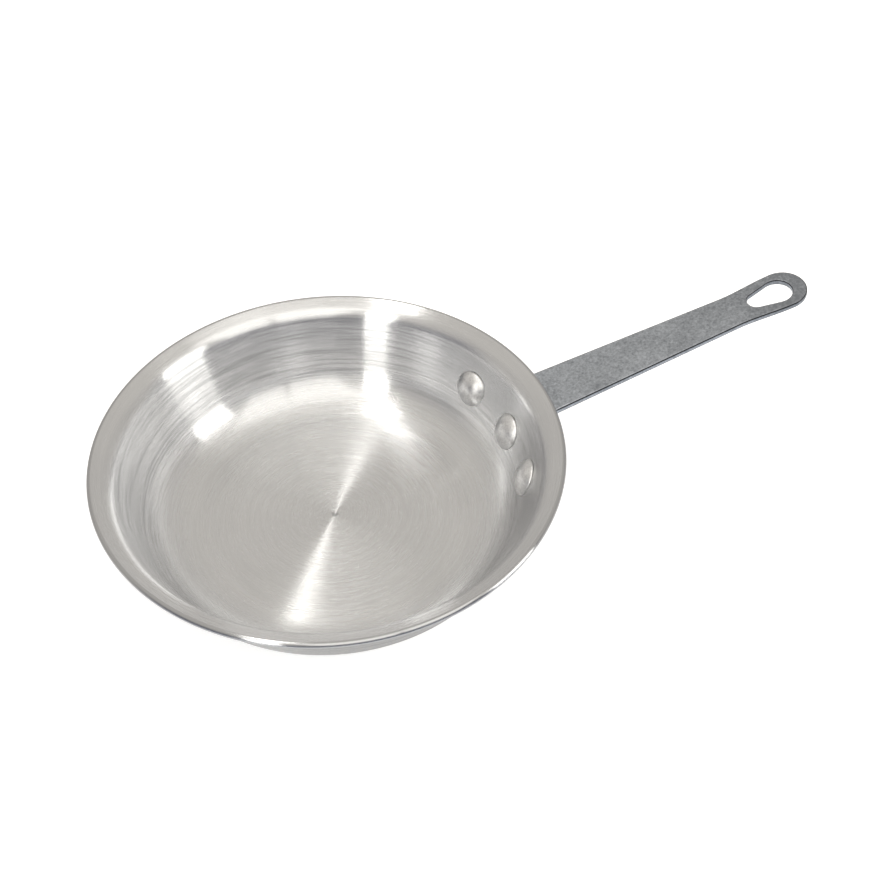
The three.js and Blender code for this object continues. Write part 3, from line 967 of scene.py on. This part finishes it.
def softbox(lamp, brightness):
    """Hangs a lamp, leaning to its left and set aside in its own plane."""
    light = bpy.data.lights.new(lamp.name, "AREA")
    light.shape = "RECTANGLE"
    light.size = lamp.width
    light.size_y = lamp.height
    light.energy = LAMP_POWER * lamp.width * lamp.height * brightness
    light.color = LAMP_TINT
    box = bpy.data.objects.new(lamp.name, light)
    bpy.context.scene.collection.objects.link(box)
    place = from_pan(lamp.azimuth, lamp.elevation, lamp.distance)
    facing = (-place).to_track_quat("-Z", "Y")
    box.location = place + facing @ Vector((lamp.aside, 0, 0))
    box.rotation_euler = (facing @ Quaternion((0, 0, 1), math.radians(lamp.lean))).to_euler()


class PAN_OT_set_stage(bpy.types.Operator):
    """Sets the floor, the lights and the camera"""

    bl_idname = "frying_pan.set_stage"
    bl_label = "Stage"

    def execute(self, context):
        studio = context.scene.frying_pan.studio
        context.scene.view_settings.view_transform = "Standard"
        self.floor(studio)
        self.room(context.scene, studio)
        self.lights(studio)
        self.camera(context.scene, studio)
        return {"FINISHED"}

    def floor(self, studio):
        """Lays the pale floor. The metals see the room's table in its place."""
        bpy.ops.object.select_all(action="DESELECT")
        bpy.ops.mesh.primitive_plane_add(size=FLOOR_SIZE)
        floor = bpy.context.object
        floor.name = "floor"
        material, tree = new_tree("pale_floor")
        tree.surface(tree.add("ShaderNodeBsdfPrincipled", inputs={
            "Base Color": rgba(studio.floor_colour), "Roughness": FLOOR_ROUGHNESS,
            "Emission Color": rgba(studio.floor_colour), "Emission Strength": studio.floor_glow,
        }))
        floor.data.materials.append(material)
        floor.visible_glossy = False

    def room(self, scene, studio):
        """Paints the room: dark in front, light at its back and overhead, with a pale table below."""
        scene.world = bpy.data.worlds.new("room")
        tree = Tree(scene.world)
        direction = tree.add("ShaderNodeTexCoord", output="Generated")
        x, y, height = (tree.add("ShaderNodeSeparateXYZ", inputs={0: direction}, output=i) for i in range(3))
        behind = tree.ramp(x * ROOM_BACK[0] + y * ROOM_BACK[1], *BACK_FADE) * BACK_SHARE
        overhead = tree.ramp(height, *CEILING_FADE)
        above = tree.mix_colours(behind.math("MAXIMUM", overhead), studio.room_low, studio.room_high)
        table = tree.mix_colours(tree.ramp(height, *TABLE_FADE), above, studio.floor_colour)
        tint = tree.mix_colours(tree.ramp(height, *UNDER_FADE), table, studio.room_under)
        sky = tree.add("ShaderNodeBackground", inputs={"Color": tint})
        tree.add("ShaderNodeOutputWorld", inputs={"Surface": sky})

    def lights(self, studio):
        """Hangs the lamps round the pan."""
        for lamp in LAMPS:
            softbox(lamp, getattr(studio, lamp.strength))

    def camera(self, scene, studio):
        """Sets the camera where the photo was taken from."""
        data = bpy.data.cameras.new("camera")
        data.lens = studio.camera_lens
        data.sensor_width = SENSOR_WIDTH
        camera = bpy.data.objects.new("camera", data)
        scene.collection.objects.link(camera)
        camera.location = studio.camera_place
        camera.rotation_euler = (QUARTER - studio.camera_pitch, 0, -studio.camera_heading)
        scene.camera = camera


class PAN_PT_frying_pan(bpy.types.Panel):
    """Lists the steps and the sizes"""

    bl_label = "Frying Pan"
    bl_idname = "PAN_PT_frying_pan"
    bl_space_type = "VIEW_3D"
    bl_region_type = "UI"
    bl_category = "Frying Pan"

    def draw(self, context):
        settings = context.scene.frying_pan
        for operator in OPERATORS:
            self.layout.operator(operator.bl_idname)
        for group in (settings.pan, settings.handle, settings.rivets, settings.finishes, settings.studio):
            box = self.layout.box()
            for name in group.__annotations__:
                box.prop(group, name)


GROUPS = (PanSizes, HandleSizes, RivetSizes, Finishes, StudioSizes, FryingPanSettings)
OPERATORS = (PAN_OT_model_shell, PAN_OT_model_handle, PAN_OT_model_rivets, PAN_OT_set_stage)
CLASSES = (*GROUPS, *OPERATORS, PAN_PT_frying_pan)


def register():
    for entry in CLASSES:
        bpy.utils.register_class(entry)
    bpy.types.Scene.frying_pan = PointerProperty(type=FryingPanSettings)


def unregister():
    del bpy.types.Scene.frying_pan
    for entry in reversed(CLASSES):
        bpy.utils.unregister_class(entry)


def main():
    register()
    bpy.ops.frying_pan.model_shell()
    bpy.ops.frying_pan.model_handle()
    bpy.ops.frying_pan.model_rivets()
    bpy.ops.frying_pan.set_stage()


if __name__ == "__main__":
    main()
